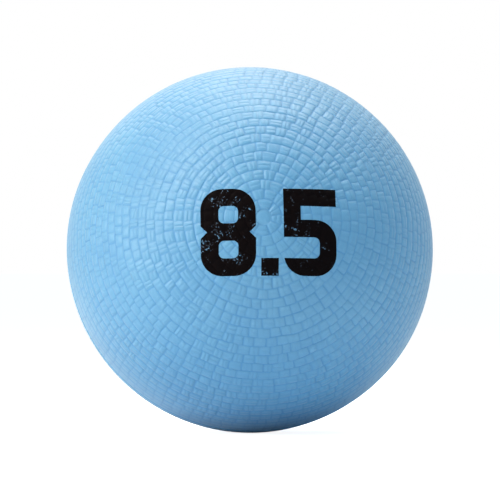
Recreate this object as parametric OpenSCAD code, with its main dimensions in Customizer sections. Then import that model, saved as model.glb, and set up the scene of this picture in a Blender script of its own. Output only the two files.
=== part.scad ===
// Inflatable rubber dodgeball, made the way such a ball is made: a bladder with a needle
// valve, a layer of wound thread, and a cover moulded over both in a two-part mould.
// Everything turns about the mould's axis, drawn here as Z with the valve at its top.
// The ball lies with that axis leaning back, so its printed front looks a little upwards.

/* [Ball] */
// Diameter over the crowns of the cover's texture
ball_d = 216; // [150:1:260]
// Angle by which the front pole lies above level, in degrees
axis_lean = 10; // [0:1:45]

/* [Walls] */
// Thickness of the moulded rubber cover
cover_wall = 1.6; // [1.2:0.1:3]
// Thickness of the layer of wound thread
winding_wall = 0.4; // [0.3:0.1:1]
// Thickness of the bladder
bladder_wall = 0.8; // [0.6:0.1:1.6]
// Cement line between one bonded piece and the next
cement = 0.1; // [0.05:0.05:0.2]

/* [Parting line] */
// Diameter of the round bead where the two mould halves met
bead_d = 1.4; // [1:0.1:2]
// Height of the bead above the crowns
bead_rise = 0.2; // [0.1:0.05:0.4]

/* [Valve seat] */
// Diameter of the smooth disc moulded around the valve
disc_d = 26; // [20:1:34]
// Depth of the disc below the crowns
disc_depth = 0.4; // [0.2:0.1:0.7]
// Diameter of the patch that doubles the bladder's wall at the valve
patch_d = 42; // [36:1:60]
// Thickness of the patch
patch_wall = 0.6; // [0.4:0.1:1.2]

/* [Valve housing] */
// Diameter of the housing's barrel
barrel_d = 11; // [10:0.5:14]
// Length of the barrel, from the smooth disc to its inner end
barrel_len = 18; // [16:0.5:24]
// Diameter of the flange that holds the housing in the bladder
flange_d = 28; // [22:1:34]
// Thickness of the flange
flange_wall = 1.2; // [0.8:0.1:2]

/* [Valve plug] */
// Diameter of the plug's head
head_d = 6.4; // [6:0.1:8]
// Thickness of the head
head_len = 1.8; // [1.2:0.1:2.4]
// Depth of the head's face below the smooth disc
head_sink = 0.4; // [0.2:0.1:1]
// Diameter of the plug's stem
stem_d = 4.4; // [4:0.1:5]
// Length of the stem under the head
stem_len = 12; // [10:0.5:13]
// Diameter of the swelling that keeps the stem in the housing
barb_d = 5.4; // [5.2:0.1:6]
// Length of the swelling
barb_len = 2.4; // [1.6:0.1:3]
// Clearance between the plug and the housing
plug_fit = 0.05; // [0.02:0.01:0.1]
// Diameter of the hole that guides the inflating needle
needle_hole_d = 2.4; // [2.2:0.1:2.8]
// Length of that hole, down to the slit that closes by itself
needle_hole_len = 6; // [4:0.5:8]
// Diameter of the hole's lead-in at the face of the head
lead_in_d = 3.6; // [3:0.1:4.4]
// Depth of the lead-in
lead_in_len = 0.8; // [0.5:0.1:1.2]

/* [Print] */
// Width of the number printed on the front
print_w = 78; // [60:1:90]
// Height of the number
print_h = 50; // [42:1:60]
// Width of the numerals' strokes
stroke_w = 10; // [7:0.5:11]
// Gap on each side of the point
point_gap = 3; // [2:0.5:5]
// Thickness of the ink film
ink_wall = 0.15; // [0.1:0.05:0.3]
// Angle of the print's centre below the front pole, in degrees
print_drop = 4.4; // [0:0.1:10]
// Angle of the print's centre to the right of the front pole, in degrees
print_shift = 1.9; // [-5:0.1:5]

/* [Hidden] */
$fn = 96;

// Outer radius of each layer, from the crowns inwards
cover_r = ball_d / 2;
winding_r = cover_r - cover_wall - cement;
bladder_r = winding_r - winding_wall - cement;
patch_r = bladder_r - bladder_wall - cement;
flange_r = patch_r - patch_wall - cement;
ink_r = cover_r + cement;

// Levels of the valve along the axis
disc_r = cover_r - disc_depth;
head_top = disc_r - head_sink;
head_seat = head_top - head_len;
stem_end = head_seat - stem_len;
barb_middle = stem_end + barb_len;

// Numerals: two equal digits with the point between them
digit_w = (print_w - stroke_w - 2 * point_gap) / 2;
digit_corner_share = 0.4;
window_corner_share = 0.3;
waist_share = 0.5;
bowl_share = 0.64;
mouth_share = 0.25;
print_up = axis_lean - print_drop;

// How far a cut runs past the faces that it opens
overrun = 1;

// Half of the ball's section: a ring of one wall's thickness on the right of the axis
module ring_section(r, wall) {
    intersection() {
        difference() {
            circle(r = r);
            circle(r = r - wall);
        }
        translate([0, -r]) square([r, 2 * r]);
    }
}

// A strip beside the axis, above the ball's middle and out to one radius
module axis_strip(r) {
    square([r, cover_r + overrun]);
}

// One layer's section with the hole that the valve's barrel passes through
module pierced_section(r, wall) {
    difference() {
        ring_section(r, wall);
        axis_strip(barrel_d / 2 + cement);
    }
}

// Turns a section about the mould's axis, then lays that axis back as the ball lies
module turned() {
    rotate([-90 - axis_lean, 0, 0]) rotate_extrude() children();
}

// The cover's wall with the parting bead on its widest circle
module cover_section() {
    ring_section(cover_r, cover_wall);
    translate([cover_r + bead_rise - bead_d / 2, 0]) circle(d = bead_d);
}

// Front half of the cover, up to the parting line
module cover_front() {
    color([0.36, 0.61, 0.80]) turned() intersection() {
        cover_section();
        translate([0, -cover_r - overrun]) square(cover_r + overrun);
    }
}

// Back half of the cover, with the smooth disc and the hole for the valve
module cover_back() {
    color([0.36, 0.61, 0.80]) turned() difference() {
        intersection() {
            cover_section();
            square(cover_r + overrun);
        }
        axis_strip(barrel_d / 2 + cement);
        intersection() {
            difference() {
                circle(r = cover_r + overrun);
                circle(r = disc_r);
            }
            axis_strip(disc_d / 2);
        }
    }
}

// Thread wound over the bladder and soaked in cement
module winding() {
    color([0.86, 0.84, 0.76]) turned() pierced_section(winding_r, winding_wall);
}

// Bladder that holds the air
module bladder() {
    color([0.13, 0.13, 0.14]) turned() pierced_section(bladder_r, bladder_wall);
}

// Round patch that doubles the bladder's wall at the valve
module valve_patch() {
    color([0.24, 0.24, 0.26]) turned() intersection() {
        pierced_section(patch_r, patch_wall);
        axis_strip(patch_d / 2);
    }
}

// Housing: a barrel through every layer, and a flange under the patch
module valve_housing() {
    color([0.16, 0.16, 0.17]) turned() difference() {
        union() {
            intersection() {
                circle(r = disc_r);
                translate([0, disc_r - barrel_len]) square([barrel_d / 2, barrel_len]);
            }
            intersection() {
                ring_section(flange_r, flange_wall);
                axis_strip(flange_d / 2);
            }
        }
        translate([0, head_seat]) square([head_d / 2 + plug_fit, cover_r - head_seat]);
        axis_strip(stem_d / 2 + plug_fit);
        translate([0, barb_middle - barb_len / 2 - plug_fit])
            square([barb_d / 2 + plug_fit, barb_len + 2 * plug_fit]);
    }
}

// Plug: head, stem and swelling, with the guide hole for the needle
module valve_plug() {
    color([0.10, 0.10, 0.11]) turned() difference() {
        union() {
            translate([0, head_seat]) square([head_d / 2, head_len]);
            translate([0, stem_end]) square([stem_d / 2, stem_len]);
            translate([0, barb_middle - barb_len / 2]) square([barb_d / 2, barb_len]);
        }
        translate([0, head_top - lead_in_len - needle_hole_len])
            square([needle_hole_d / 2, needle_hole_len + lead_in_len + overrun]);
        polygon([
            [0, head_top - lead_in_len],
            [needle_hole_d / 2, head_top - lead_in_len],
            [lead_in_d / 2, head_top],
            [0, head_top]
        ]);
    }
}

// A block with round corners, standing on the line y = 0 at the right of x = 0
module round_block(w, h, r) {
    translate([r, 0]) square([w - 2 * r, h]);
    translate([0, r]) square([w, h - 2 * r]);
    for (x = [r, w - r], y = [r, h - r])
        translate([x, y]) circle(r = r);
}

// The opening inside a digit, one stroke in from its left edge
module window(h) {
    w = digit_w - 2 * stroke_w;
    translate([stroke_w, 0]) round_block(w, h, window_corner_share * min(w, h));
}

module digit_eight() {
    window_h = (print_h - 3 * stroke_w) / 2;
    difference() {
        round_block(digit_w, print_h, digit_corner_share * digit_w);
        translate([0, stroke_w]) window(window_h);
        translate([0, 2 * stroke_w + window_h]) window(window_h);
        for (x = [0, digit_w])
            translate([x, print_h / 2]) rotate(45) square(waist_share * stroke_w, center = true);
    }
}

module digit_five() {
    bowl_h = bowl_share * print_h;
    mouth_w = stroke_w + mouth_share * digit_w;
    difference() {
        round_block(digit_w, bowl_h, digit_corner_share * digit_w);
        translate([0, stroke_w]) window(bowl_h - 2 * stroke_w);
        translate([-overrun, stroke_w]) square([mouth_w, bowl_h - 2 * stroke_w]);
    }
    translate([0, bowl_h - stroke_w]) square([stroke_w, print_h - bowl_h + stroke_w]);
    translate([0, bowl_h - stroke_w]) square([digit_w / 2, stroke_w]);
    translate([0, print_h - stroke_w]) square([digit_w, stroke_w]);
}

// The whole number, centred on the origin
module numerals() {
    translate([-print_w / 2, -print_h / 2]) {
        digit_eight();
        translate([digit_w + point_gap, 0]) square(stroke_w);
        translate([print_w - digit_w, 0]) digit_five();
    }
}

// Ink film that carries the number, on the crowns of the front cover
module print() {
    color([0.06, 0.05, 0.06]) intersection() {
        difference() {
            sphere(r = ink_r + ink_wall);
            sphere(r = ink_r);
        }
        rotate([0, 0, print_shift]) rotate([90 - print_up, 0, 0])
            linear_extrude(height = cover_r + overrun) numerals();
    }
}

cover_front();
cover_back();
winding();
bladder();
valve_patch();
valve_housing();
valve_plug();
print();
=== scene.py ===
import math
import random

import bmesh
import bpy
import numpy as np
from mathutils import Matrix, Vector


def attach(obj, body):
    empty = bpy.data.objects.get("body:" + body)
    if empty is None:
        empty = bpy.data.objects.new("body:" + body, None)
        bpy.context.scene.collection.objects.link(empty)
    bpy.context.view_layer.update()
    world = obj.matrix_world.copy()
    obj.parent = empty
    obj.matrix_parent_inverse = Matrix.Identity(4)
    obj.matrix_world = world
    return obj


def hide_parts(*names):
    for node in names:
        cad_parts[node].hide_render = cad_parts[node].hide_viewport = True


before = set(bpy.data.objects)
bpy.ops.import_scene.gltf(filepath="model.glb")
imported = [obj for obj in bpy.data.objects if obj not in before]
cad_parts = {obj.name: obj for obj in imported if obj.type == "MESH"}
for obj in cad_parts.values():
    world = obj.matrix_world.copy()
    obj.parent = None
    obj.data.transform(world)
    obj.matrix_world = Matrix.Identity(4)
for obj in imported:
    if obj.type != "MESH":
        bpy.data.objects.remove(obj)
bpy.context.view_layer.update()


# Bladder
# The airtight layer of the ball: butyl rubber moulded in one piece, with a hole for the valve.
# It is the frame's own solid. The closed cover hides it, so it gets a finish and nothing else.


class Wire:
    """A node's socket that can be used in sums: each operator adds the Math node for it."""

    def __init__(self, tree, socket=None):
        self.tree = tree
        self.socket = socket

    def node(self, kind, settings=None, sockets=None, out=0):
        """Adds any other node: its settings first, then its sockets' values or links."""
        made = self.tree.nodes.new(kind)
        for name, value in (settings or {}).items():
            setattr(made, name, value)
        for name, value in (sockets or {}).items():
            if isinstance(value, Wire):
                self.tree.links.new(value.socket, made.inputs[name])
            else:
                made.inputs[name].default_value = value
        return Wire(self.tree, made.outputs[out]) if len(made.outputs) else None

    def math(self, operation, *values):
        """Adds a Math node on these values or wires."""
        return self.node("ShaderNodeMath", {"operation": operation}, dict(enumerate(values)))

    def vector(self, operation, *values, scale=None, out=0):
        """Adds a Vector Math node; scale is the number that its SCALE operation takes."""
        sockets = dict(enumerate(values))
        if scale is not None:
            sockets["Scale"] = scale
        return self.node("ShaderNodeVectorMath", {"operation": operation}, sockets, out)

    def part(self, axis):
        """One number of this vector: 0, 1 or 2 for x, y or z."""
        return self.node("ShaderNodeSeparateXYZ", None, {0: self}, axis)

    def __add__(self, other):
        return self.math("ADD", self, other)

    def __sub__(self, other):
        return self.math("SUBTRACT", self, other)

    def __rsub__(self, other):
        return self.math("SUBTRACT", other, self)

    def __mul__(self, other):
        return self.math("MULTIPLY", self, other)

    def __pow__(self, other):
        return self.math("POWER", self, other)

    __radd__ = __add__
    __rmul__ = __mul__

    def step(self, low, high):
        """Rises smoothly from 0 at low to 1 at high."""
        return self.node(
            "ShaderNodeMapRange",
            {"interpolation_type": "SMOOTHSTEP"},
            {"Value": self, "From Min": low, "From Max": high},
        )

    def blend(self, first, second):
        """A colour between two, with this wire as the share of the second."""
        return self.node("ShaderNodeMix", {"data_type": "RGBA"}, {0: self, 6: first, 7: second}, 2)

    def noise(self, size, detail=2.0, out=0):
        """Noise on this wire's coordinates, with patches of about this size in metres."""
        return self.node(
            "ShaderNodeTexNoise", None, {"Vector": self, "Scale": 1 / size, "Detail": detail}, out
        )


def start_finish(name):
    """A new, empty material and a wire to build it with."""
    material = bpy.data.materials.new(name)
    material.use_nodes = True
    material.node_tree.nodes.clear()
    return material, Wire(material.node_tree)


def end_finish(wire, height, sockets):
    """Closes a finish: height, in metres, becomes the bump under the shader's sockets."""
    bump = wire.node("ShaderNodeBump", None, {"Distance": 1.0, "Height": height})
    shader = wire.node("ShaderNodeBsdfPrincipled", None, {**sockets, "Normal": bump})
    wire.node("ShaderNodeOutputMaterial", None, {"Surface": shader})


def black_rubber(name, dark, bloom, roughness, bloom_share):
    """Dark moulded rubber: a fine grain, and a dusty bloom that lies on it in patches."""
    material, wire = start_finish(name)
    place = wire.node("ShaderNodeTexCoord", out="Object")
    patches = place.noise(0.006, 4.0).step(0.35, 0.75)
    grain = place.noise(0.0004, 3.0)
    end_finish(
        wire,
        grain * 0.00002 + patches * 0.00001,
        {
            "Base Color": (patches * bloom_share).blend(dark, bloom),
            "Roughness": patches * 0.12 + grain * 0.08 + roughness,
        },
    )
    return material


def carry_over(node, material):
    """Gives a CAD node its finish and leaves its mesh alone."""
    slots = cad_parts[node].data.materials
    slots.clear()
    slots.append(material)


butyl = black_rubber(
    "butyl rubber",
    dark=(0.014, 0.014, 0.016, 1),
    bloom=(0.05, 0.05, 0.055, 1),
    roughness=0.62,
    bloom_share=0.6,
)
carry_over("bladder", butyl)


# Valve patch
# A round patch of rubber sheet, cemented inside the bladder where the valve goes through.
# It doubles the wall there. It is the frame's own solid, out of sight inside the ball.

sheet_rubber = black_rubber(
    "patch rubber",
    dark=(0.04, 0.04, 0.045, 1),
    bloom=(0.09, 0.09, 0.1, 1),
    roughness=0.7,
    bloom_share=0.7,
)
carry_over("valve_patch", sheet_rubber)


# Valve housing
# A moulded rubber barrel with a flange, vulcanised into the patch and through the layers.
# Only its round face shows, flush with the smooth disc at the back of the ball.

housing_rubber = black_rubber(
    "housing rubber",
    dark=(0.018, 0.018, 0.02, 1),
    bloom=(0.06, 0.06, 0.065, 1),
    roughness=0.5,
    bloom_share=0.5,
)
carry_over("valve_housing", housing_rubber)


# Valve plug
# Soft rubber plug, pressed into the housing, with the guide hole for the inflating needle.
# The slit below that hole closes by itself, so the hole ends blind.

plug_rubber = black_rubber(
    "plug rubber",
    dark=(0.009, 0.009, 0.01, 1),
    bloom=(0.03, 0.03, 0.033, 1),
    roughness=0.42,
    bloom_share=0.3,
)
carry_over("valve_plug", plug_rubber)


# Winding
# Nylon thread wound over the bladder in great circles and soaked in rubber cement.
# It keeps the ball round. It is the frame's own solid, out of sight under the cover.

BAND_SCALE = 300.0  # on the wave texture's scale: a band of thread about every millimetre
BAND_TURNS = ((0.0, 0.0, 0.0), (1.1, 0.4, 0.0), (0.5, 1.2, 0.8))
THREAD_RISE = 0.0001
NYLON = (0.72, 0.67, 0.54, 1)
CEMENT = (0.5, 0.4, 0.22, 1)


def thread_finish():
    """Crossing bands of thread in three directions, yellowed where the cement is thick."""
    material, wire = start_finish("wound thread")
    place = wire.node("ShaderNodeTexCoord", out="Object")
    height = None
    for turn in BAND_TURNS:
        turned = wire.node("ShaderNodeMapping", None, {"Vector": place, "Rotation": turn})
        band = wire.node(
            "ShaderNodeTexWave",
            {"wave_type": "BANDS", "bands_direction": "Z"},
            {"Vector": turned, "Scale": BAND_SCALE, "Distortion": 0.6, "Detail": 1.0},
            "Fac",
        )
        height = band if height is None else wire.math("MAXIMUM", height, band)
    cement = place.noise(0.012, 3.0).step(0.4, 0.7)
    end_finish(
        wire,
        height * THREAD_RISE,
        {
            "Base Color": (cement * 0.7).blend(NYLON, CEMENT),
            "Roughness": 0.85 - cement * 0.25,
        },
    )
    return material


carry_over("winding", thread_finish())


# Cover, back half
# Blue rubber moulded over the winding in a two-part mould, 1.6 mm thick. The mould cuts a basket
# weave into it, ring by ring about its pole: blocks of two ribs, laid across each other by turns.
# Round the valve it leaves a smooth disc with a plain rim; at the parting line stands a thin bead.

LEAN = math.radians(10)  # how far the mould's axis leans back from level
MOULD_AXIS = (0.0, -math.cos(LEAN), math.sin(LEAN))  # points out through the front pole
CROWN = 0.10795  # radius over the weave's crowns
INSIDE = 0.1064  # radius of the cover's inner face
PITCH = math.radians(90 / 28)  # angle that one ring of the weave takes
RINGS = 27
CAP_SHARE = 0.75  # radius of the first, round block, in pitches
AROUND = 54.3  # pairs of blocks on the widest ring
JOINT_DRIFT = 0.14  # how far a joint between blocks may lie off its even place, in blocks
GROOVE = 0.0005  # depth of the grooves between blocks
RIBS = 2  # ribs side by side in one block
RIB_MARGIN = 0.05  # plain edge on each side of a block's ribs, in blocks
RIB_GROOVE = 0.00022  # depth of the groove between ribs, as bump
STREAKS = 5  # fine streaks across a block
STREAK_RISE = 0.00024  # as bump
LAND_RADIUS = 0.10780  # radius of the smooth land beside the bead
BEAD_TOP = 0.10820  # radius over the bead
BEAD_SIZE = 0.0014  # width of the bead, which is round
BEAD_STEPS = 4
BEAD_PLACES = 216
INNER_PLACES = 72  # points round the inner face
INNER_ROWS = 18
SHARP = math.radians(65)  # an edge bent by more than this is shaded sharp

# The bake map has a disc for each face of the cover: its centre, along both axes, and its radius.
OUTER_CHART = (0.5, 0.49)
INNER_CHART = (0.08, 0.07)
CHART_REACH = 92  # degrees from the pole at a disc's rim
PARTING_SPREAD = 91.5  # the parting face ends here on the outer disc
WALL_SPREAD = 2.2  # and the wall of the valve's hole here

SKY = (0.143, 0.41, 0.675, 1)  # the rubber's own blue
DEEP = (0.03, 0.23, 0.56, 1)  # a deeper blue, for random mottling and for the painted shade in the joints and rib grooves
CHALK = (0.3, 0.6, 0.84, 1)  # the blue of rubbed crowns


class Loop:
    """One closed row of points round the mould's axis, in order of their turn about it."""

    def __init__(self, turns, first, weave):
        self.turns = turns
        self.first = first
        self.weave = weave

    def corner(self, k):
        """Point number and weave coordinates of column k, which may be one past the last."""
        last = k == len(self.turns)
        return self.first + (0 if last else k), self.weave[k]


class Skin:
    """The closed surface of one cover half, built loop by loop from its pole outwards."""

    def __init__(self):
        self.points = []
        self.woven = []
        self.cell_turn = []
        self.ring_reach = []
        self.outer_map = []
        self.inner_map = []
        self.faces = []
        self.weave_uv = []
        self.bake_uv = []

    def loop(self, angle, radius, turns, weave=None, woven=0.0, spread=None):
        """Adds a loop at an angle from the pole; spread is its place on the bake's outer disc.

        weave holds each point's block and ring numbers, and the first point's again at the end.
        """
        weave = weave or [(0.0, 0.0)] * (len(turns) + 1)
        made = Loop(turns, len(self.points), weave)
        spread = math.degrees(angle) if spread is None else spread
        for turn, (cell, reach) in zip(turns, weave):
            c, s = math.cos(math.tau * turn), math.sin(math.tau * turn)
            flat = radius * math.sin(angle)
            self.points.append((flat * c, flat * s, radius * math.cos(angle)))
            self.woven.append(woven)
            self.cell_turn.append(cell)
            self.ring_reach.append(reach)
            for chart, (middle, size), lean in (
                (self.outer_map, OUTER_CHART, spread),
                (self.inner_map, INNER_CHART, math.degrees(angle)),
            ):
                out = size * lean / CHART_REACH
                chart.append((middle + out * c, middle + out * s))
        return made

    def face(self, corners, inside):
        """Adds a face, with its place on the weave and on the bake map."""
        chart = self.inner_map if inside else self.outer_map
        self.faces.append([number for number, _ in corners])
        for number, weave in corners:
            self.weave_uv.extend(weave)
            self.bake_uv.extend(chart[number])

    def join(self, near, far, inside=False):
        """Closes the surface between one loop and the next along the profile."""
        if len(near.turns) == 1 or len(far.turns) == 1:
            ring = far if len(near.turns) == 1 else near
            for k in range(len(ring.turns)):
                a, b = ring.corner(k), ring.corner(k + 1)
                if ring is far:
                    self.face([near.corner(0), a, b], inside)
                else:
                    self.face([a, far.corner(0), b], inside)
            return
        if near.turns == far.turns:
            for k in range(len(near.turns)):
                self.face(
                    [near.corner(k), far.corner(k), far.corner(k + 1), near.corner(k + 1)], inside
                )
            return
        i = j = 0
        while i < len(near.turns) or j < len(far.turns):
            next_near = (near.turns + [1.0])[i + 1] if i < len(near.turns) else 2.0
            next_far = (far.turns + [1.0])[j + 1] if j < len(far.turns) else 2.0
            if next_near <= next_far:
                self.face([near.corner(i), far.corner(j), near.corner(i + 1)], inside)
                i += 1
            else:
                self.face([near.corner(i), far.corner(j), far.corner(j + 1)], inside)
                j += 1


def even(count):
    """Places spread evenly over one turn."""
    return [k / count for k in range(count)]


def weave_rings(skin, last, first_ring, seed):
    """Adds the weave's rings from first_ring outwards, each with its own whole number of blocks."""
    chance = random.Random(seed)
    # Points stand closest at the edges of a block, where it rounds down to the groove.
    across = (0.0, 0.07, 0.14, 0.5, 0.86, 0.93)
    outwards = (0.02, 0.08, 0.15, 0.5, 0.85, 0.92, 0.98)
    for ring in range(first_ring, RINGS + 1):
        start = (ring - 1 + CAP_SHARE) * PITCH
        blocks = 2 * round(AROUND * math.sin(start + PITCH / 2))
        edges = [0.0] + [b + chance.uniform(-JOINT_DRIFT, JOINT_DRIFT) for b in range(1, blocks)]
        edges.append(float(blocks))
        turns = [
            (edges[b] + share * (edges[b + 1] - edges[b])) / blocks
            for b in range(blocks)
            for share in across
        ]
        cells = [b + share for b in range(blocks) for share in across] + [blocks]
        for share in outwards:
            angle = start + share * PITCH
            row = skin.loop(angle, CROWN, turns, [(c, ring + share) for c in cells], 1.0)
            skin.join(last, row)
            last = row
    return last


def close_half(skin, last, inner_stop, stop_spread=None):
    """From the last ring over the land and the bead, across the parting face and back inside.

    stop_spread is the last row's place on the outer disc, where the wall of a hole starts there.
    """
    places = even(BEAD_PLACES)
    land_start = (RINGS + CAP_SHARE) * PITCH
    half = BEAD_SIZE / 2
    centre = BEAD_TOP - half
    # The bead's round side meets the land where both lie at the land's radius.
    bead_angle = math.acos((LAND_RADIUS**2 + centre**2 - half**2) / (2 * LAND_RADIUS * centre))
    for angle in (land_start + 0.001, (land_start + math.pi / 2 - bead_angle) / 2):
        row = skin.loop(angle, LAND_RADIUS, places)
        skin.join(last, row)
        last = row
    foot_turn = math.asin(LAND_RADIUS * math.sin(bead_angle) / half)
    for step in range(BEAD_STEPS + 1):
        lift = foot_turn * (1 - step / BEAD_STEPS)
        high, out = half * math.sin(lift), centre + half * math.cos(lift)
        row = skin.loop(math.pi / 2 - math.atan2(high, out), math.hypot(high, out), places)
        skin.join(last, row)
        last = row
    places = even(INNER_PLACES)
    row = skin.loop(math.pi / 2, INSIDE, places, spread=PARTING_SPREAD)
    skin.join(last, row)
    last = row
    for k in range(1, INNER_ROWS + 1):
        angle = math.pi / 2 + (inner_stop - math.pi / 2) * k / INNER_ROWS
        turns = [0.0] if angle < 1e-6 else places
        row = skin.loop(angle, INSIDE, turns, spread=stop_spread)
        skin.join(last, row, inside=True)
        last = row
    return last


def block_place(wire, turn, reach):
    """Where a point lies on the weave.

    Gives its block and ring numbers, then 1 or 0 for the way that the block is laid, then the
    point's shares across and along the block's ribs.
    """
    u, v = wire.math("FRACT", turn), wire.math("FRACT", reach)
    block, ring = wire.math("FLOOR", turn), wire.math("FLOOR", reach)
    kind = wire.math("FLOORED_MODULO", block + ring, 2.0)
    return block, ring, kind, u + (v - u) * kind, v + (u - v) * kind


# Every block and joint draws a random share by a whole number of its own.
RING_NUMBERS = 1000  # from one ring's numbers to the next
SPOKE_NUMBERS = 300  # added for the joints that run outwards
ROUND_NUMBERS = 600  # added for the joints that run round


def relief_tree():
    """The rule of the weave: how far each point of a woven ring lies below the crowns."""
    tree = bpy.data.node_groups.new("basket weave", "GeometryNodeTree")
    face = tree.interface
    ids = {}
    measures = (
        "Crown Radius", "Groove Depth", "Floor Share", "Side Share", "End Share", "Arch Drop",
        "Unevenness", "Joint Spread", "Fade", "Patchiness", "Swell", "Wander",
    )
    for name, kind in (
        ("Geometry", "NodeSocketGeometry"),
        *((measure, "NodeSocketFloat") for measure in measures),
        ("Seed", "NodeSocketInt"),
        ("Material", "NodeSocketMaterial"),
    ):
        ids[name] = face.new_socket(name=name, in_out="INPUT", socket_type=kind).identifier
    face.new_socket(name="Geometry", in_out="OUTPUT", socket_type="NodeSocketGeometry")
    wire = Wire(tree)
    given = tree.nodes.new("NodeGroupInput")

    def size(name):
        return Wire(tree, given.outputs[name])

    def stored(name):
        return wire.node("GeometryNodeInputNamedAttribute", None, {"Name": name})

    turn, reach, woven = stored("cell_turn"), stored("ring_reach"), stored("woven")
    block, ring, kind, across, along = block_place(wire, turn, reach)
    side = wire.math("MINIMUM", across, 1 - across).step(size("Floor Share"), size("Side Share"))
    end = wire.math("MINIMUM", along, 1 - along).step(size("Floor Share"), size("End Share"))
    arch = 1 - size("Arch Drop") * (along * 2 - 1) ** 2

    def chance(spread, number):
        """A share from 1 - spread to 1, the same for every point that has this whole number."""
        return wire.node(
            "FunctionNodeRandomValue",
            {"data_type": "FLOAT"},
            {"Min": 1 - spread, "ID": number, "Seed": size("Seed")},
            1,
        )

    own = chance(size("Unevenness"), block + ring * RING_NUMBERS)
    nearest_spoke = wire.math("FLOOR", turn + 0.5)
    nearest_round = wire.math("FLOOR", reach + 0.5)
    spoke = chance(size("Joint Spread"), nearest_spoke + ring * RING_NUMBERS + SPOKE_NUMBERS)
    round_joint = chance(
        size("Joint Spread"), nearest_round * RING_NUMBERS + block + ROUND_NUMBERS
    )
    side_joint = spoke + (round_joint - spoke) * kind
    end_joint = round_joint + (spoke - round_joint) * kind
    relief = (1 - (1 - side) * side_joint) * (1 - (1 - end) * end_joint) * arch * own
    place = wire.node("GeometryNodeInputPosition")
    # The lean is the angle from the pole; swell and wander die out near it and near the bead.
    lean = wire.math("ARCCOSINE", wire.vector("NORMALIZE", place).part(2))
    inner = lean.step(1.5, 1.2) * lean.step(0.15, 0.35)
    drift = wire.vector("SUBTRACT", place.noise(1 / 60, out="Color"), (0.5, 0.5, 0.5))
    drift = wire.vector("SCALE", drift, scale=size("Wander") * inner)
    normal = wire.vector("NORMALIZE", wire.vector("ADD", place, drift))
    shallow = size("Patchiness") * place.noise(0.06, 1.0).step(0.62, 0.38)
    depth = size("Groove Depth") * (1 - size("Fade") * lean.step(1.05, 1.5)) * (1 - shallow)
    swell = size("Swell") * place.noise(0.05) * inner
    radius = size("Crown Radius") - depth * (1 - relief) - swell
    moved = wire.vector("SCALE", normal, scale=radius)
    pressed = wire.node("FunctionNodeCompare", {"data_type": "FLOAT"}, {0: woven, 1: 0.5})
    shaped = wire.node(
        "GeometryNodeSetPosition",
        None,
        {"Geometry": size("Geometry"), "Selection": pressed, "Position": moved},
    )
    kept = wire.node(
        "GeometryNodeStoreNamedAttribute",
        {"data_type": "FLOAT", "domain": "POINT"},
        {"Geometry": shaped, "Name": "relief", "Value": 1 - (1 - relief) * woven},
    )
    real = wire.node("GeometryNodeRealizeInstances", None, {"Geometry": kept})
    done = wire.node(
        "GeometryNodeSetMaterial", None, {"Geometry": real, "Material": size("Material")}
    )
    out = tree.nodes.new("NodeGroupOutput")
    tree.links.new(done.socket, out.inputs[0])
    return tree, ids


class WovenSpot:
    """The weave as a finish finds it under a point, from the two maps that the mesh carries."""

    def __init__(self, wire):
        self.wire = wire
        self.place = wire.node("ShaderNodeTexCoord", out="Object")
        spot = wire.node("ShaderNodeUVMap", {"uv_map": "weave"})
        marks = wire.node("ShaderNodeUVMap", {"uv_map": "marks"})
        self.block, self.ring, _, self.across, self.along = block_place(
            wire, spot.part(0), spot.part(1)
        )
        self.relief = marks.part(0)
        # What is shown of the ribs: nothing in the joints, and little beside the parting line.
        from_line = wire.math("ABSOLUTE", wire.vector("DOT_PRODUCT", self.place, MOULD_AXIS, out=1))
        clear = from_line.step(0.0, 0.055) * 0.8 + 0.2
        self.shown = marks.part(1) * self.relief.step(0.3, 0.6) * clear

    def grooves(self):
        """The grooves between a block's ribs, fainter in patches."""
        turns = RIBS * math.pi / (1 - 2 * RIB_MARGIN)
        wave = self.wire.math("SINE", (self.across - RIB_MARGIN) * turns)
        kept = self.place.noise(0.022, 2.0).step(0.38, 0.62) * 0.65 + 0.35
        return (1 - self.wire.math("ABSOLUTE", wave)) ** 1.2 * kept * self.shown

    def streaks(self):
        """Fine streaks along the ribs; uneven steps give each block streaks of its own."""
        strand = self.wire.node(
            "ShaderNodeCombineXYZ",
            None,
            {
                0: self.across * STREAKS + self.block * 3.7,
                1: self.along * 0.9,
                2: self.ring * 2.3,
            },
        )
        return strand.noise(1.0, 2.0) * self.shown


def cover_finish():
    """Satin blue rubber, with painted shade that turns its joints and rib grooves a deeper blue; a
    little chalky on the crowns that get rubbed.
    """
    material, wire = start_finish("blue cover rubber")
    place = wire.node("ShaderNodeTexCoord", out="Object")
    spot = WovenSpot(wire)
    relief, grooves, streaks = spot.relief, spot.grooves(), spot.streaks()
    cloud = place.noise(0.035, 3.0)
    grain = place.noise(0.0005, 2.0)
    scuff = place.noise(0.004, 5.0).step(0.56, 0.74) * relief.step(0.6, 1.0)
    hollow = 1 - relief
    tone = (cloud.step(0.3, 0.7) * 0.15).blend(SKY, DEEP)
    # Painted shade: the joints between blocks and the grooves between ribs are darkened towards the
    # deeper blue.
    tone = (hollow**2 * (0.72 - cloud * 0.25) + grooves * 0.15).blend(tone, DEEP)
    tone = (scuff * 0.3).blend(tone, CHALK)
    end_finish(
        wire,
        grain * 0.000012 - grooves * RIB_GROOVE + streaks * STREAK_RISE,
        {
            "Base Color": tone,
            "Roughness": hollow * 0.12 + cloud * 0.1 + scuff * 0.1 + 0.36,
            "IOR": 1.62,
            "Sheen Weight": 0.28,
            "Sheen Roughness": 0.5,
        },
    )
    return material


cover_rubber = cover_finish()
weave, weave_sizes = relief_tree()


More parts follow.
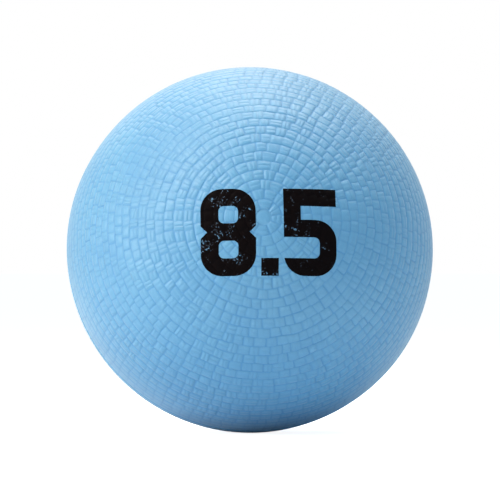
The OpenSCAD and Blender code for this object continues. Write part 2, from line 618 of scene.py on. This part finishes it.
def mould_half(name, skin, lay, seed):
    """Turns the gathered skin into a piece: presses the weave in, and lays it as the ball lies."""
    mesh = bpy.data.meshes.new(name)
    mesh.from_pydata(skin.points, [], skin.faces)
    for label, values in (
        ("woven", skin.woven),
        ("cell_turn", skin.cell_turn),
        ("ring_reach", skin.ring_reach),
    ):
        mesh.attributes.new(label, "FLOAT", "POINT").data.foreach_set("value", values)
    mesh.uv_layers.new(name="weave").uv.foreach_set("vector", skin.weave_uv)
    mesh.uv_layers.new(name="OFBake").uv.foreach_set("vector", skin.bake_uv)
    mesh.polygons.foreach_set("use_smooth", [True] * len(mesh.polygons))
    piece = bpy.data.objects.new(name, mesh)
    bpy.context.scene.collection.objects.link(piece)
    press = piece.modifiers.new("press the weave", "NODES")
    press.node_group = weave
    for label, value in (
        ("Crown Radius", CROWN),
        ("Groove Depth", GROOVE),
        ("Floor Share", 0.015),
        ("Side Share", 0.14),
        ("End Share", 0.14),
        ("Arch Drop", 0.3),
        ("Unevenness", 0.25),
        ("Joint Spread", 0.65),
        ("Fade", 0.7),
        ("Patchiness", 0.35),
        ("Swell", 0.0001),
        ("Wander", 0.0035),
        ("Seed", seed),
        ("Material", cover_rubber),
    ):
        press[weave_sizes[label]] = value
    depsgraph = bpy.context.evaluated_depsgraph_get()
    done = bpy.data.meshes.new_from_object(
        piece.evaluated_get(depsgraph), preserve_all_data_layers=True, depsgraph=depsgraph
    )
    piece.modifiers.clear()
    piece.data = done
    done.transform(lay)
    count = len(done.vertices)
    marks = np.zeros((count, 2), np.float32)
    for column, label in enumerate(("relief", "woven")):
        values = np.zeros(count, np.float32)
        done.attributes[label].data.foreach_get("value", values)
        marks[:, column] = values
    corner = np.zeros(len(done.loops), np.int32)
    done.loops.foreach_get("vertex_index", corner)
    done.uv_layers.new(name="marks").uv.foreach_set("vector", marks[corner].ravel())
    done.set_sharp_from_angle(angle=SHARP)
    return piece


front_pole = Vector(MOULD_AXIS)
up = Vector((0, math.sin(LEAN), math.cos(LEAN)))
right = Vector((1, 0, 0))


def lay_matrix(side, upward, pole, first_turn):
    """Places the mould's own axes, with the rings' first joint turned to first_turn degrees."""
    frame_axes = Matrix((side, upward, pole)).transposed().to_4x4()
    return frame_axes @ Matrix.Rotation(math.radians(first_turn), 4, "Z")


BACK_SEED = 5
HOLE = 0.0056  # radius of the hole for the valve's barrel
DISC_RADIUS = 0.1076  # the smooth disc, from the ball's centre
DISC_ANGLE = math.asin(0.013 / DISC_RADIUS)
DISC_PLACES = 96
EDGE_DROP = 0.00006  # how far a rounded edge falls beside a crown
rim_end = (2 + CAP_SHARE) * PITCH

back_skin = Skin()
places = even(DISC_PLACES)
first = row = back_skin.loop(math.asin(HOLE / DISC_RADIUS), DISC_RADIUS, places)
for angle, radius in (
    (math.radians(5.0), DISC_RADIUS),
    (DISC_ANGLE - 0.0006, DISC_RADIUS),
    (DISC_ANGLE + 0.0006, DISC_RADIUS + 0.0001),
    (DISC_ANGLE + 0.0022, CROWN - EDGE_DROP),
    (DISC_ANGLE + 0.0050, CROWN),
    (rim_end - 0.0100, CROWN),
    (rim_end - 0.0050, CROWN - EDGE_DROP),
    (rim_end - 0.0010, CROWN - GROOVE),
):
    following = back_skin.loop(angle, radius, places)
    back_skin.join(row, following)
    row = following
row = weave_rings(back_skin, row, 3, BACK_SEED)
row = close_half(back_skin, row, math.asin(HOLE / INSIDE), WALL_SPREAD)
# The hole's wall closes the skin, from the inner face back to the disc.
back_skin.join(row, first)
back_lay = lay_matrix(-right, up, -front_pole, first_turn=60)
cover_back = mould_half("cover_back_woven", back_skin, back_lay, BACK_SEED)
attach(cover_back, "root")
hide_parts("cover_back")


# Cover, front half
# The other half of the same moulded skin, with the weave running in to a small round block at
# the pole. It meets the back half face to face at the parting line, bead on bead.

FRONT_SEED = 2
CAP_WOVEN = 0.45  # the round block is smooth, and shows its ribs' bump to this share
CAP_PLACES = 24

front_skin = Skin()
row = front_skin.loop(0.0, CROWN - 0.00003, [0.0], [(0.5, 0.5)] * 2, CAP_WOVEN)
places = even(CAP_PLACES)
cap = CAP_SHARE * PITCH
for share, drop in ((0.3, 0.00004), (0.6, 0.00008), (0.8, 0.00018), (0.97, GROOVE)):
    # Its ribs run straight across it, as if it were cut out of a square block.
    spots = [(math.cos(math.tau * p), math.sin(math.tau * p)) for p in places + [0.0]]
    ribbed = [(0.5 + 0.49 * share * c, 0.5 + 0.49 * share * s) for c, s in spots]
    following = front_skin.loop(cap * share, CROWN - drop, places, ribbed, CAP_WOVEN)
    front_skin.join(row, following)
    row = following
row = weave_rings(front_skin, row, 1, FRONT_SEED)
close_half(front_skin, row, 0.0)
front_lay = lay_matrix(right, up, front_pole, first_turn=240)
cover_front = mould_half("cover_front_woven", front_skin, front_lay, FRONT_SEED)
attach(cover_front, "root")
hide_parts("cover_front")


# Print
# The number 8.5, the ball's size in inches, pad-printed on the front in black ink. The film is
# thinner than paper, follows every rib, and is rubbed through in flecks along them.

INK_LOW = 0.00001  # the film's lower and upper face, over the rubber
INK_HIGH = 0.00006
PRINT_SIZE = (0.078, 0.050)
PRINT_UP = math.radians(5.6)  # where its middle lies, seen from the ball's centre
PRINT_RIGHT = math.radians(1.9)
PRINT_REACH = math.radians(27)  # the film's blank goes this far from the print's centre
PRISM_MIDDLE = 0.101  # the cutting prism stands across the cover, at this distance
PRISM_HALF = 0.012
WITHIN_WALL = 0.107  # a radius between the cover's two faces
INK = (0.0025, 0.0018, 0.0025, 1)
BROWN_INK = (0.006, 0.003, 0.003, 1)
RUBBED_INK = (0.1, 0.13, 0.18, 1)

# The drawing of the digits, in millimetres.
DIGIT_WIDTH = 31
DIGIT_HEIGHT = 50
STROKE = 10
CORNER = 12.4
SLOT_CORNER = 3
BOWL_HEIGHT = 32
BOWL_CORNER = 3.3
WAIST_NOTCH = 2.5 * math.sqrt(2)
POINT_START = 34
FIVE_START = 47


def arc(x, y, radius, start, stop, steps=10):
    """Points of a round corner about (x, y), from one angle in degrees to another."""
    angles = [math.radians(start + (stop - start) * k / steps) for k in range(steps + 1)]
    return [(x + radius * math.cos(a), y + radius * math.sin(a)) for a in angles]


def rounded(x, y, w, h, r):
    """A rectangle with round corners, as one outline."""
    return (
        arc(x + w - r, y + r, r, -90, 0)
        + arc(x + w - r, y + h - r, r, 0, 90)
        + arc(x + r, y + h - r, r, 90, 180)
        + arc(x + r, y + r, r, 180, 270)
    )


def outlines():
    """The outlines of 8, point and 5 in millimetres, from the number's lower left corner."""
    far, high = DIGIT_WIDTH - CORNER, DIGIT_HEIGHT - CORNER
    waist, notch = DIGIT_HEIGHT / 2, WAIST_NOTCH
    eight = (
        arc(far, CORNER, CORNER, -90, 0)
        + [(DIGIT_WIDTH, waist - notch), (DIGIT_WIDTH - notch, waist), (DIGIT_WIDTH, waist + notch)]
        + arc(far, high, CORNER, 0, 90)
        + arc(CORNER, high, CORNER, 90, 180)
        + [(0, waist + notch), (notch, waist), (0, waist - notch)]
        + arc(CORNER, CORNER, CORNER, 180, 270)
    )
    bowl_top = BOWL_HEIGHT - STROKE
    bowl_far = DIGIT_WIDTH - STROKE - BOWL_CORNER
    # The five's lower left corner starts where its round side reaches a stroke's height.
    low = math.degrees(math.acos(-math.sqrt(CORNER**2 - (CORNER - STROKE) ** 2) / CORNER))
    five = (
        arc(far, CORNER, CORNER, -90, 0)
        + arc(far, BOWL_HEIGHT - CORNER, CORNER, 0, 90)
        + [(STROKE, BOWL_HEIGHT), (STROKE, DIGIT_HEIGHT - STROKE)]
        + [(DIGIT_WIDTH, DIGIT_HEIGHT - STROKE), (DIGIT_WIDTH, DIGIT_HEIGHT)]
        + [(0, DIGIT_HEIGHT), (0, bowl_top)]
        + arc(bowl_far, bowl_top - BOWL_CORNER, BOWL_CORNER, 90, 0)
        + arc(bowl_far, STROKE + BOWL_CORNER, BOWL_CORNER, 0, -90)
        + arc(CORNER, CORNER, CORNER, 360 - low, 270)
    )
    shifted = [(x + FIVE_START, y) for x, y in five]
    slots = [
        rounded(STROKE, y, DIGIT_WIDTH - 2 * STROKE, STROKE, SLOT_CORNER)
        for y in (STROKE, 3 * STROKE)
    ]
    point_end = POINT_START + STROKE
    point = [(POINT_START, 0), (point_end, 0), (point_end, STROKE), (POINT_START, STROKE)]
    return [eight, *slots, point, shifted]


def number_prism():
    """The number as a tall prism along the print's own direction, to cut the film with."""
    curve = bpy.data.curves.new("number", "CURVE")
    curve.dimensions = "2D"
    curve.fill_mode = "BOTH"
    curve.extrude = PRISM_HALF
    for outline in outlines():
        spline = curve.splines.new("POLY")
        spline.points.add(len(outline) - 1)
        for place, (x, y) in zip(spline.points, outline):
            place.co = (x / 1000 - PRINT_SIZE[0] / 2, y / 1000 - PRINT_SIZE[1] / 2, 0, 1)
        spline.use_cyclic_u = True
    drawn = bpy.data.objects.new("number", curve)
    bpy.context.scene.collection.objects.link(drawn)
    depsgraph = bpy.context.evaluated_depsgraph_get()
    mesh = bpy.data.meshes.new_from_object(drawn.evaluated_get(depsgraph))
    bpy.data.objects.remove(drawn)
    turn = Matrix.Rotation(PRINT_RIGHT, 4, "Z") @ Matrix.Rotation(math.pi / 2 - PRINT_UP, 4, "X")
    mesh.transform(turn @ Matrix.Translation((0, 0, PRISM_MIDDLE)))
    welded = bmesh.new()
    welded.from_mesh(mesh)
    bmesh.ops.remove_doubles(welded, verts=welded.verts, dist=0.000001)
    bmesh.ops.recalc_face_normals(welded, faces=welded.faces)
    welded.to_mesh(mesh)
    welded.free()
    prism = bpy.data.objects.new("number_prism", mesh)
    bpy.context.scene.collection.objects.link(prism)
    return prism


def film_blank(cover, centre, width):
    """A thin closed film over the part of the cover that lies round the print's centre."""
    mesh = cover.data
    count = len(mesh.vertices)
    spots = np.zeros(count * 3, np.float32)
    mesh.vertices.foreach_get("co", spots)
    spots = spots.reshape(-1, 3)
    lift = np.zeros(count * 3, np.float32)
    mesh.vertex_normals.foreach_get("vector", lift)
    lift = lift.reshape(-1, 3)
    weave_uv = mesh.uv_layers["weave"].uv
    marks_uv = mesh.uv_layers["marks"].uv
    outer = np.linalg.norm(spots, axis=1) > WITHIN_WALL
    near = outer & (spots @ np.array(centre) > math.cos(width) * CROWN)
    chosen = [p for p in mesh.polygons if all(near[list(p.vertices)])]
    used = sorted({v for p in chosen for v in p.vertices})
    number = {v: k for k, v in enumerate(used)}
    below = len(used)  # from a point of the upper face to the one under it
    low = spots[used] + lift[used] * INK_LOW
    high = spots[used] + lift[used] * INK_HIGH
    faces, uvs = [], ([], [])
    edges = {}

    def add(corners, sources):
        faces.append(corners)
        for out, layer in zip(uvs, (weave_uv, marks_uv)):
            for source in sources:
                out.extend(layer[source].vector)

    # Each face is laid twice, the lower one turned over; an edge of one face only gets a side.
    for polygon in chosen:
        corners = [number[v] for v in polygon.vertices]
        sources = list(polygon.loop_indices)
        add(corners, sources)
        add([c + below for c in reversed(corners)], list(reversed(sources)))
        for k in range(len(corners)):
            a, b = corners[k - 1], corners[k]
            if (b, a) in edges:
                del edges[(b, a)]
            else:
                edges[(a, b)] = (sources[k - 1], sources[k])
    for (a, b), (source_a, source_b) in edges.items():
        add([b, a, a + below, b + below], [source_b, source_a, source_a, source_b])
    film = bpy.data.meshes.new("film")
    film.from_pydata(np.vstack([high, low]).tolist(), [], faces)
    for label, values in zip(("weave", "marks"), uvs):
        film.uv_layers.new(name=label).uv.foreach_set("vector", values)
    blank = bpy.data.objects.new("print_film", film)
    bpy.context.scene.collection.objects.link(blank)
    return blank


def ink_finish():
    """Black ink, faintly brown; rubbed off in flecks along the ribs, most at the lower left."""
    material, wire = start_finish("black ink")
    place = wire.node("ShaderNodeTexCoord", out="Object")
    grooves = WovenSpot(wire).grooves()
    corner = (place.part(0) * -6 + place.part(2) * -6).step(-0.5, 0.6)
    patches = place.noise(0.007, 4.0).step(0.46, 0.66)
    ticks = place.noise(0.0011, 2.0).step(0.46, 0.58)
    worn = patches * ticks * (corner * 0.7 + 0.3) * (grooves * 1.9 + 0.35)
    tone = place.noise(0.003, 3.0).blend(INK, BROWN_INK)
    end_finish(
        wire,
        place.noise(0.0005) * 0.000008 - grooves * 0.0001,
        {
            "Base Color": worn.step(0.1, 0.5).blend(tone, RUBBED_INK),
            "Roughness": place.noise(0.003) * 0.2 + 0.4,
            "Specular IOR Level": 0.03,
            "Alpha": 1 - worn.step(0.2, 0.5) * 0.85,
        },
    )
    return material


print_centre = Matrix.Rotation(PRINT_RIGHT, 3, "Z") @ Vector(
    (0, -math.cos(PRINT_UP), math.sin(PRINT_UP))
)
film = film_blank(cover_front, print_centre, PRINT_REACH)
prism = number_prism()
cut = film.modifiers.new("cut the number", "BOOLEAN")
cut.operation = "INTERSECT"
cut.solver = "FAST"
cut.double_threshold = 0
cut.object = prism
depsgraph = bpy.context.evaluated_depsgraph_get()
printed = bpy.data.meshes.new_from_object(
    film.evaluated_get(depsgraph), preserve_all_data_layers=True, depsgraph=depsgraph
)
film.modifiers.clear()
film.data = printed
bpy.data.objects.remove(prism)
printed.materials.clear()
printed.materials.append(ink_finish())
printed.polygons.foreach_set("use_smooth", [True] * len(printed.polygons))
printed.set_sharp_from_angle(angle=SHARP)
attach(film, "root")
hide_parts("print")


# Floor, light and camera
# A plain studio: the floor and the world are white to the camera and pale blue to the ball. Warm
# softboxes stand high, behind, in front and on the left; two cool ones stand right and low.

BALL_RADIUS = 0.108
FLOOR_REACH = 20
WARM = (1.0, 0.9, 0.79)
COOL = (0.7, 0.9, 1.0)
FLOOR_BLUE = (0.8, 0.92, 1.0, 1)
WHITE = (1, 1, 1, 1)

floor_mesh = bpy.data.meshes.new("floor")
floor_corners = [
    (x * FLOOR_REACH, y * FLOOR_REACH, -BALL_RADIUS)
    for x, y in ((-1, -1), (1, -1), (1, 1), (-1, 1))
]
floor_mesh.from_pydata(floor_corners, [], [(0, 1, 2, 3)])
floor = bpy.data.objects.new("floor", floor_mesh)
bpy.context.scene.collection.objects.link(floor)
floor_material = bpy.data.materials.new("pale floor")
floor_material.use_nodes = True
floor_material.node_tree.nodes.clear()
wire = Wire(floor_material.node_tree)
seen = wire.node("ShaderNodeLightPath", out="Is Camera Ray")
paint = wire.node("ShaderNodeBsdfDiffuse", None, {"Color": FLOOR_BLUE})
glow = wire.node("ShaderNodeEmission", None, {"Color": WHITE, "Strength": seen * 0.9})
both = wire.node("ShaderNodeAddShader", None, {0: paint, 1: glow})
wire.node("ShaderNodeOutputMaterial", None, {"Surface": both})
floor_mesh.materials.append(floor_material)

world = bpy.data.worlds.new("studio")
bpy.context.scene.world = world
world.use_nodes = True
world.node_tree.nodes.clear()
wire = Wire(world.node_tree)
seen = wire.node("ShaderNodeLightPath", out="Is Camera Ray")
mirrored = wire.node("ShaderNodeLightPath", out="Is Glossy Ray")
# The ball mirrors the studio at most of its brightness and is lit by a small part of it.
shown = wire.math("MAXIMUM", seen, mirrored * 0.8)
air = wire.node(
    "ShaderNodeBackground",
    None,
    {
        "Color": seen.blend((*COOL, 1), WHITE),
        "Strength": wire.math("MAXIMUM", shown, 0.15),
    },
)
wire.node("ShaderNodeOutputWorld", None, {"Surface": air})


def lamp(name, place, size, power, tint):
    """A square softbox at a place, turned to the ball."""
    light = bpy.data.lights.new(name, "AREA")
    light.shape = "SQUARE"
    light.size = size
    light.energy = power
    light.color = tint
    made = bpy.data.objects.new(name, light)
    made.location = place
    made.rotation_euler = Vector(place).to_track_quat("Z", "Y").to_euler()
    bpy.context.scene.collection.objects.link(made)


lamp("key lamp", (-0.85, -0.45, 1.1), 0.5, 8.3, WARM)
lamp("front key lamp", (-0.75, -0.75, 0.95), 0.4, 3, WARM)
lamp("front lamp", (-0.35, -1.25, 0.55), 0.4, 0.6, WARM)
lamp("top lamp", (0.15, 0.3, 1.34), 1.2, 15, WARM)
lamp("back lamp", (-0.15, 1.05, 0.92), 1.0, 4, WARM)
lamp("left lamp", (-1.3, -0.35, 0.3), 0.6, 7.8, WARM)
lamp("right lamp", (0.8, -0.35, 1.05), 0.4, 2.8, COOL)
lamp("low lamp", (0.1, -1.2, -0.06), 0.1, 0.7, COOL)

CAMERA_TURN = math.radians(-4.2)
CAMERA_DISTANCE = 3.0
BALL_PIXELS = 183.0  # the ball's radius in the picture
HALF_FRAME = 250.0
SENSOR = 36

camera_data = bpy.data.cameras.new("camera")
camera_data.sensor_width = SENSOR
edge = math.tan(math.asin(BALL_RADIUS / CAMERA_DISTANCE))
camera_data.lens = SENSOR / 2 * BALL_PIXELS / (HALF_FRAME * edge)
camera = bpy.data.objects.new("camera", camera_data)
back = Vector((math.sin(CAMERA_TURN), -math.cos(CAMERA_TURN), 0))
camera.location = back * CAMERA_DISTANCE
camera.rotation_euler = back.to_track_quat("Z", "Y").to_euler()
bpy.context.scene.collection.objects.link(camera)
bpy.context.scene.camera = camera
bpy.context.scene.view_settings.view_transform = "Standard"
